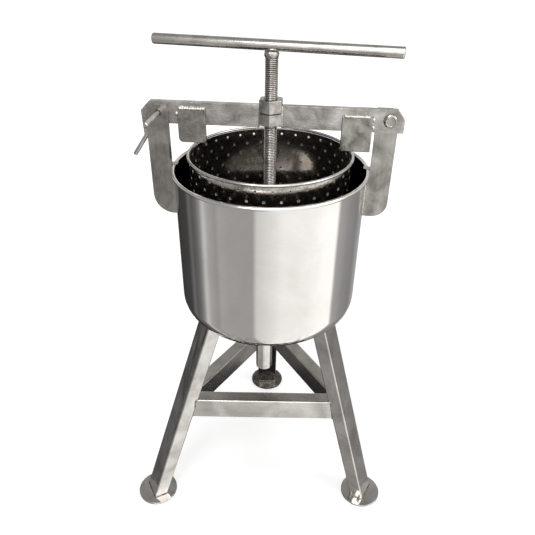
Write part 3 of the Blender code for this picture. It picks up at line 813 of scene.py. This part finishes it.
# ---------- stand
@dataclass
class Stand:
    """Three box-tube legs, their rails and foot plates, with the welds between them."""

    shop: Workshop
    legs: dict[str, tuple[float, float, float]] = field(default_factory=lambda: {
        "front_left": (210.0, 207.6, 0.2869),
        "front_right": (330.0, 332.9, 0.2587),
        "back": (90.0, 90.3, 0.2625)})
    rails: dict[str, tuple[str, str]] = field(default_factory=lambda: {
        "front": ("front_left", "front_right"),
        "left": ("front_left", "back"),
        "right": ("front_right", "back")})
    wide: float = 0.050
    deep: float = 0.030
    top_circle: float = 0.130
    bottom_z: float = 0.4645
    foot_thick: float = 0.005
    rail_top: float = 0.278

    def build(self) -> None:
        """Refine the tubes and plates and lay their welds."""
        for name in self.legs:
            self.shop.refine("leg_" + name, "stand", TUBE, 0.0004, 60.0)
            # the back foot plate takes the dark tint of painted shade
            plate = SHADED_BACK_PLATE if name == "back" else TUBE
            self.shop.refine("foot_plate_" + name, "stand", plate, 0.0003, 60.0)
            self._leg_welds(name)
        for name in self.rails:
            self.shop.refine("rail_" + name, "stand", RAIL_TUBE, 0.0004, 60.0)
            self._rail_welds(name)

    def _section(self, corner: float = 0.003) -> list[tuple[float, float]]:
        """Return the tube's rounded outline.

        Args:
            corner: radius of the corners, in metres.

        Returns:
            Pairs of offsets across and along the tube's two sides.
        """
        points = []
        for cx, cy, start in ((1, 1, 0), (-1, 1, 90), (-1, -1, 180), (1, -1, 270)):
            for k in range(4):
                turn = math.radians(start + 30 * k)
                points.append((cx * (self.wide / 2 - corner) + corner * math.cos(turn),
                               cy * (self.deep / 2 - corner) + corner * math.sin(turn)))
        return points

    def _frame(self, name: str) -> tuple[Vector, Vector, Vector, Vector]:
        """Work out how a leg stands.

        Args:
            name: which leg.

        Returns:
            Its foot point, its direction upwards and its two side directions.
        """
        top_angle, foot_angle, foot_circle = self.legs[name]
        foot = polar(foot_circle, math.radians(foot_angle), self.foot_thick)
        way = (polar(self.top_circle, math.radians(top_angle), self.bottom_z) - foot).normalized()
        across = polar(1.0, math.radians(foot_angle + 90.0)) - AXIS
        across = (across - way * across.dot(way)).normalized()
        return foot, way, across, way.cross(across).normalized()

    def _seam(self, name: str, node: str, starts: list[Vector], way: Vector, radius: float,
              steel: Steel) -> None:
        """Lay a bead where a tube's outline, carried on, meets another node.

        Args:
            name: the bead's name.
            node: the CAD node that it meets.
            starts: points on the tube's outline.
            way: the tube's direction.
            radius: the bead's half width.
            steel: its finish.
        """
        tree = self.shop.tree_of(node)
        hits = [tree.ray_cast(start, way)[0] for start in starts]
        path = [hit - way * SUNK for hit in hits if hit is not None]
        if len(path) > len(starts) / 2:
            self.shop.bead(name, path, radius, "stand", closed=True, steel=steel)

    def _leg_welds(self, name: str) -> None:
        """Lay the welds at a leg's top and foot.

        Args:
            name: which leg.
        """
        foot, way, across, up = self._frame(name)
        outline = [foot + across * a + up * b for a, b in self._section()]
        sole = self.foot_thick + 0.0008
        self.shop.bead("weld_foot_" + name, [p + way * ((sole - p.z) / way.z) for p in outline],
                       0.0016, "stand", closed=True, steel=HEAT_TINT_AND_SHADOW)
        self._seam("weld_top_" + name, "outer_pot", [p + way * 0.2 for p in outline], way, 0.0019,
                   WELD)

    def _rail_welds(self, name: str) -> None:
        """Lay the weld round each end of a rail.

        Args:
            name: which rail.
        """
        middle_z = self.rail_top - self.wide / 2
        ends = []
        for leg in self.rails[name]:
            foot, way, _, _ = self._frame(leg)
            ends.append(foot + way * ((middle_z - foot.z) / way.z))
        middle = (ends[0] + ends[1]) / 2
        for leg, end in zip(self.rails[name], ends):
            way = (end - middle).normalized()
            side = way.cross(Vector((0, 0, 1))).normalized()
            outline = [middle + Vector((0, 0, a)) + side * b for a, b in self._section()]
            self._seam(f"weld_rail_{name}_{leg}", "leg_" + leg, outline, way, 0.0017, HEAT_TINT_AND_SHADOW)


# ---------- uprights and beam
@dataclass
class Beam:
    """Uprights, the swinging beam with its nuts and tabs, the pivot and the pin."""

    shop: Workshop
    axes: BeamFrame = BeamFrame()
    face: float = 0.0064
    bar: float = 0.0127
    pivot: tuple[float, float] = (0.2029, 0.8617)
    pin: tuple[float, float] = (-0.1955, 0.8634)

    def build(self) -> None:
        """Refine the bars and fittings and lay their welds."""
        for nodes, body, steel, *how in (
                (("upright_left", "upright_right"), "stand", GROUND_UPRIGHT, 0.0017),
                (("beam_left", "beam_right"), "beam", GROUND_BAR, 0.0015),
                (("stop_tab_left", "stop_tab_right"), "beam", TAB_PLATE, 0.0012),
                (("screw_nut_lower", "screw_nut_upper"), "beam", MACHINED, 0.0008, 25.0,
                 "dull_steel"),
                (("pivot_bolt", "pivot_washer", "pivot_nut"), "stand", MACHINED, 0.0009, 38.0,
                 "polished_steel"),
                (("hitch_pin",), "pin", DRAWN_BAR, 0.0, 38.0, "polished_steel")):
            for node in nodes:
                self.shop.refine(node, body, steel, *how)
        self._rings()
        self._welds()

    def _rings(self) -> None:
        """Lay the raised ring on the bolt's head, and a dark ring round the pin's bore as painted
        shadow of the gap there.
        """
        across = self.axes.point(0.0, 1.0, 0.0) - AXIS
        for name, node, (u, z), radius, lift, thick, steel in (
                ("pivot_bolt_ring", "pivot_bolt", self.pivot, 0.0080, 0.0004, 0.0012, MACHINED),
                # dark ring on the upright round the pin: painted shadow of the bore's gap
                ("pin_bore_painted_shadow", "upright_left", self.pin, 0.0060, 0.0, 0.0009, HEAT_TINT_AND_SHADOW)):
            points = self.shop.nodes[node].data.vertices
            front = min((v.co - AXIS).dot(across) for v in points) + lift
            path = [self.axes.point(u + radius * math.cos(a), front, z + radius * math.sin(a))
                    for a in turns(32)]
            self.shop.bead(name, path, thick, "stand", closed=True, steel=steel)

    def _welds(self) -> None:
        """Lay the beads on the tabs, the nuts and beside the pot, each from end to end."""
        front = -self.face - 0.0022
        edge = front + 0.001
        near = self.face + 0.0004
        far = near + self.bar
        beads = [
            ("tab_left_top", "beam", 0.0027, (-0.1630, front, 0.8692), (-0.1150, front, 0.8692)),
            ("tab_left_side", "beam", 0.0030, (-0.1655, edge, 0.8640), (-0.1655, edge, 0.8560)),
            ("tab_right_top", "beam", 0.0024, (0.1250, front, 0.8668), (0.1700, front, 0.8668)),
            ("tab_right_side", "beam", 0.0027, (0.1757, edge, 0.8660), (0.1757, edge, 0.8580)),
            ("tab_right_low", "beam", 0.0025, (0.1757, edge, 0.8530), (0.1757, edge, 0.8460))]
        beads += [(f"nut_{label}_{where}", "beam", 0.0016, (u, v, 0.8418), (u, v, 0.8788))
                  for u, label in ((-0.0197, "left"), (0.0197, "right"))
                  for v, where in ((-self.face, "front"), (self.face, "back"))]
        beads += [("upright_" + label, "stand", 0.0017, (u, v, low), (u, v, 0.758))
                  for label, u, v, low in (
                      ("left_front", -0.1748, -far, 0.676),
                      ("left_back", -0.1752, -self.face, 0.676),
                      ("right_front", 0.1752, near, 0.682), ("right_back", 0.1742, far, 0.682))]
        for name, body, radius, *ends in beads:
            self.shop.bead("weld_" + name, [self.axes.point(*end) for end in ends], radius, body)


# ---------- screw
@dataclass
class Screw:
    """Threaded screw with its handle, boss and press foot."""

    shop: Workshop
    crest: float = 0.0113
    depth: float = 0.0017
    pitch: float = 0.003
    sides: int = 28
    journal: float = 0.0075
    groove: float = 0.0055
    shoulder_z: float = 0.7003
    groove_z: tuple[float, float] = (0.6871, 0.6929)

    def build(self) -> None:
        """Cut the thread and refine the rest."""
        piece = self._thread()
        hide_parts("press_screw")
        self.shop.report(piece, "thread")
        self.shop.refine("handle_bar", "screw", HANDLE, 0.0008)
        boss = self._fillet()
        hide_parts("handle_boss")
        self.shop.report(boss, "weld fillet")
        self.shop.refine("press_foot", "foot", GROUND_BAR, 0.0006, 50.0)
        self.shop.refine("foot_grub_screw", "foot", MACHINED, 0.0, slot="dull_steel")

    def _fillet(self, rows: int = 9, sides: int = 40) -> Piece:
        """Build the lumpy weld that holds the handle on the screw's end.

        Args:
            rows: loops from bottom to top.
            sides: points round each loop.

        Returns:
            The weld.
        """
        low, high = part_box("handle_boss")
        loops = []
        for row in range(rows):
            share = row / (rows - 1)
            radius = 0.0106 + 0.0012 * math.sin(math.pi * share) + 0.0006 * share
            loops.append([polar(radius * (1.0 + 0.07 * wobble(a * 2.3 + row * 0.9)), a,
                                low.z + (high.z - low.z) * share) for a in turns(sides)])
        verts, faces = skin(loops)
        return self.shop.fit(new_object("handle_fillet", verts, faces), "screw", MACHINED,
                             "dull_steel")

    def _height(self, z: float, turn: float) -> float:
        """Return how far the thread stands above its root.

        Args:
            z: height, in metres.
            turn: direction, as a share of a full turn.

        Returns:
            The height above the root, in metres.
        """
        wave = abs((z / self.pitch - turn) % 1.0 * 2.0 - 1.0)
        return self.depth * min(1.0, max(0.0, (wave - 0.15) / 0.5))

    def _thread(self) -> Piece:
        """Build the screw with a real helical thread above its journal.

        Returns:
            The screw.
        """
        low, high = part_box("press_screw")
        root = self.crest - self.depth
        groove_low, groove_high = self.groove_z
        loops = [circle(radius, z, self.sides) for radius, z in (
            (self.journal - 0.001, low.z), (self.journal, low.z + 0.001),
            (self.journal, groove_low), (self.groove, groove_low),
            (self.groove, groove_high), (self.journal, groove_high),
            (self.journal, self.shoulder_z), (root, self.shoulder_z))]
        step = self.pitch / 6.0
        count = int((high.z - 0.0012 - self.shoulder_z) / step)
        for k in range(1, count):
            z = self.shoulder_z + k * step
            fade = min(1.0, k / 8.0, (count - k) / 8.0)  # the thread runs out at both ends
            loops.append([polar(root + fade * self._height(z, s / self.sides), angle, z)
                          for s, angle in enumerate(turns(self.sides))])
        loops.append(circle(root, high.z - 0.0001, self.sides))
        verts, faces = skin(loops)
        return self.shop.fit(new_object("press_screw_thread", verts, faces), "screw", THREAD,
                             "dull_steel")


# ---------- studio
@dataclass
class Studio:
    """Floor, soft light, the room that the steel reflects, and the camera."""

    eye: tuple[float, float, float] = (0.0122, -0.9659, 1.1465)
    yaw: float = -0.0449
    pitch: float = 0.594
    roll: float = -0.0011
    lens: float = 37.31
    shift: tuple[float, float] = (0.0272, 0.0435)
    room_radius: float = 7.0

    def build(self) -> None:
        """Build all of the studio."""
        self._world()
        self._floor()
        self._room()
        self._lamps()
        self._camera()
        bpy.context.scene.view_settings.view_transform = "Standard"

    def _seen(self, tree: Tree) -> Socket:
        """Tell the rays that see or mirror something from those that only light it.

        Args:
            tree: the node tree.

        Returns:
            A socket that is one for camera, glossy and transmission rays.
        """
        rays = add_node(tree, "LightPath").outputs
        first = work_out(tree, "MAXIMUM", rays["Is Camera Ray"], rays["Is Glossy Ray"])
        return work_out(tree, "MAXIMUM", first, rays["Is Transmission Ray"])

    def _world(self) -> None:
        """White to the eye and in reflections, a plain soft grey as light."""
        world = bpy.data.worlds.new("studio")
        bpy.context.scene.world = world
        tree = clear_tree(world)
        light, shown = (add_node(tree, "Background", inputs={
            "Color": (1.0, 1.0, 1.0, 1.0), "Strength": level}).outputs[0] for level in (0.55, 1.0))
        mixed = add_node(tree, "MixShader", inputs={0: self._seen(tree), 1: light, 2: shown})
        add_node(tree, "OutputWorld", inputs={"Surface": mixed.outputs[0]})

    def _floor(self) -> None:
        """Lay a pale floor that keeps the press's shadow."""
        size, sunk = 20.0, -0.0004
        floor = new_object("studio_floor", [(x, y, sunk) for x, y in (
            (-size, -size), (size, -size), (size, size), (-size, size))], [(0, 1, 2, 3)], False)
        material = bpy.data.materials.new("studio_floor_paint")
        tree = clear_tree(material)
        paint = add_node(tree, "BsdfDiffuse", inputs={"Color": (0.86, 0.86, 0.86, 1.0)})
        reach = add_node(tree, "VectorMath", {"operation": "LENGTH"}, {
            0: add_node(tree, "TexCoord").outputs["Object"]}).outputs["Value"]
        far = remap(tree, reach, 1.0, 3.0, 0.40, 0.62, "SMOOTHSTEP")
        glow = work_out(tree, "MULTIPLY", self._seen(tree), far)
        lift = add_node(tree, "Emission", inputs={"Color": (1.0, 1.0, 1.0, 1.0), "Strength": glow})
        both = add_node(tree, "AddShader", inputs={0: paint.outputs[0], 1: lift.outputs[0]})
        add_node(tree, "OutputMaterial", inputs={"Surface": both.outputs[0]})
        floor.data.materials.append(material)
        floor.visible_glossy = False

    def _room(self) -> None:
        """Close the press in the dim and bright bands that polished steel mirrors.

        A far shell that only reflections see is set by its direction round the press,
        0 degrees at the front and 90 at the right, with rows of bands below the horizon,
        along the skyline and high above. A dark card of painted shadow lies on the floor
        between the legs, standing in for the press's shadow under it in reflections.
        """
        below = ((-180, 0.24), (-152, 0.04), (-118, 0.06), (-110, 0.16), (-104, 0.11), (-96, 0.16),
                 (-90, 0.30), (-84, 0.62), (-77, 0.42), (-66, 0.34), (-60, 0.41), (-48, 0.38),
                 (-18, 0.38), (-13, 0.70), (-2, 0.82), (9, 0.93), (18, 1.04), (50, 1.06),
                 (72, 1.20), (88, 1.20), (93, 0.42), (112, 0.30), (132, 0.25), (150, 0.40),
                 (180, 0.28))
        skyline = ((-180, 0.75), (-110, 0.40), (-60, 0.36), (-42, 0.42), (-30, 0.80), (-18, 1.40),
                   (20, 1.30), (80, 1.05), (130, 0.60), (180, 0.75))
        above = ((-180, 0.34), (-120, 0.28), (-60, 0.40), (-42, 0.55), (-30, 1.40), (-18, 2.40),
                 (30, 2.10), (80, 1.00), (130, 0.40), (180, 0.34))
        rows, columns, radius = 16, 48, self.room_radius
        verts = [polar(radius * math.cos(tilt), turn, radius * math.sin(tilt), Vector())
                 for tilt in (math.pi * (r / rows - 0.5) for r in range(1, rows))
                 for turn in turns(columns)]
        faces = [(r + c, r + (c + 1) % columns, r + columns + (c + 1) % columns, r + columns + c)
                 for r in range(0, (rows - 2) * columns, columns) for c in range(columns)]
        faces += [tuple(range(columns)), tuple(range((rows - 2) * columns, (rows - 1) * columns))]
        shell = new_object("studio_shell", verts, faces, False)
        tree = clear_tree(bpy.data.materials.new("studio_shell"))
        x, y, z = add_node(tree, "SeparateXYZ", inputs={
            0: add_node(tree, "TexCoord").outputs["Object"]}).outputs
        turn = work_out(tree, "ARCTAN2", x, work_out(tree, "MULTIPLY", y, -1.0))
        share = remap(tree, turn, -math.pi, math.pi)
        level = self._bands(tree, below, share)
        for row, low, high in ((skyline, -0.10, 0.08), (above, 0.38, 0.66)):
            level = add_node(tree, "Mix", {"data_type": "FLOAT"}, {
                0: remap(tree, z, low * radius, high * radius, kind="SMOOTHSTEP"), 2: level,
                3: self._bands(tree, row, share)}).outputs[0]
        self._light_up(tree, shell, level)
        # glossy-only dark card under the press: painted shadow on the floor in reflections
        rim = circle(0.22, 0.0002, 48, AXIS + Vector((0.0, 0.05, 0.0)))
        shadow_card = new_object("studio_painted_shadow_card", rim, [tuple(range(len(rim)))], False)
        self._light_up(clear_tree(bpy.data.materials.new("studio_painted_shadow_card")), shadow_card, 0.02)

    @staticmethod
    def _bands(tree: Tree, stops: Sequence[tuple[float, float]],
               share: Socket) -> Socket:
        """Return the level of the bands for a share of the full turn.

        Args:
            tree: the node tree.
            stops: directions in degrees with their levels.
            share: socket with the direction as a share of the turn.

        Returns:
            The socket that holds the level.
        """
        curve = add_node(tree, "FloatCurve", inputs={"Value": share})
        points = curve.mapping.curves[0].points
        curve.mapping.use_clip = False
        first, *between, last = (((angle + 180.0) / 360.0, level) for angle, level in stops)
        points[0].location, points[1].location = first, last
        for place in between:
            points.new(*place)
        for point in points:
            point.handle_type = "VECTOR"
        curve.mapping.update()
        return curve.outputs[0]

    @staticmethod
    def _light_up(tree: Tree, panel: Piece, level: float | Socket) -> None:
        """Make a panel glow in reflections only.

        Args:
            tree: the node tree of the panel's material.
            panel: the panel.
            level: its brightness.
        """
        glow = add_node(tree, "Emission", inputs={
            "Color": (1.0, 0.985, 0.97, 1.0), "Strength": level})
        add_node(tree, "OutputMaterial", inputs={"Surface": glow.outputs[0]})
        panel.data.materials.append(bpy.data.materials[panel.name])
        for use in ("camera", "diffuse", "shadow", "transmission"):
            setattr(panel, "visible_" + use, False)

    def _lamps(self) -> None:
        """Light with three soft boxes, in front, at the right and behind."""
        aim = Vector((0, 0, 0.6))
        for name, place, size, power in (
                ("key_box", (-0.75, -2.1, 2.9), 1.4, 26.0),
                ("right_box", (2.3, -0.9, 2.0), 1.6, 18.0),
                ("back_box", (0.4, 2.4, 2.6), 1.8, 16.0)):
            lamp = bpy.data.lights.new(name, "AREA")
            lamp.shape, lamp.size, lamp.energy = "DISK", size, power
            obj = put(name, lamp)
            obj.location = place
            obj.visible_glossy = name != "back_box"  # it would glare off every level face
            obj.rotation_euler = (aim - Vector(place)).to_track_quat("-Z", "Y").to_euler()

    def _camera(self) -> None:
        """Set the camera in front of the press, looking down at it."""
        data = bpy.data.cameras.new("camera")
        data.sensor_width, data.lens = 36.0, self.lens
        data.shift_x, data.shift_y = self.shift
        data.clip_start, data.clip_end = 0.02, 60.0
        camera = put("camera", data)
        ahead = Vector((math.sin(self.yaw) * math.cos(self.pitch),
                        math.cos(self.yaw) * math.cos(self.pitch), -math.sin(self.pitch)))
        right = Vector((math.cos(self.yaw), -math.sin(self.yaw), 0.0))
        up = right.cross(ahead)
        cos_r, sin_r = math.cos(self.roll), math.sin(self.roll)
        right, up = right * cos_r + up * sin_r, up * cos_r - right * sin_r
        camera.location = AXIS + Vector(self.eye)
        rows = [[right[k], up[k], -ahead[k]] for k in range(3)]
        camera.rotation_euler = Matrix(rows).to_euler()
        bpy.context.scene.camera = camera


def main() -> None:
    """Load the frame, build the studio and every sub-assembly, and log each one done."""
    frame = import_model()
    shop = Workshop(frame["nodes"], Finishes())
    Studio().build()
    for part in (Pot(shop), Basket(shop), Stand(shop), Beam(shop), Screw(shop)):
        part.build()
        LOG.info("%s done", type(part).__name__)


if __name__ == "__main__":
    main()
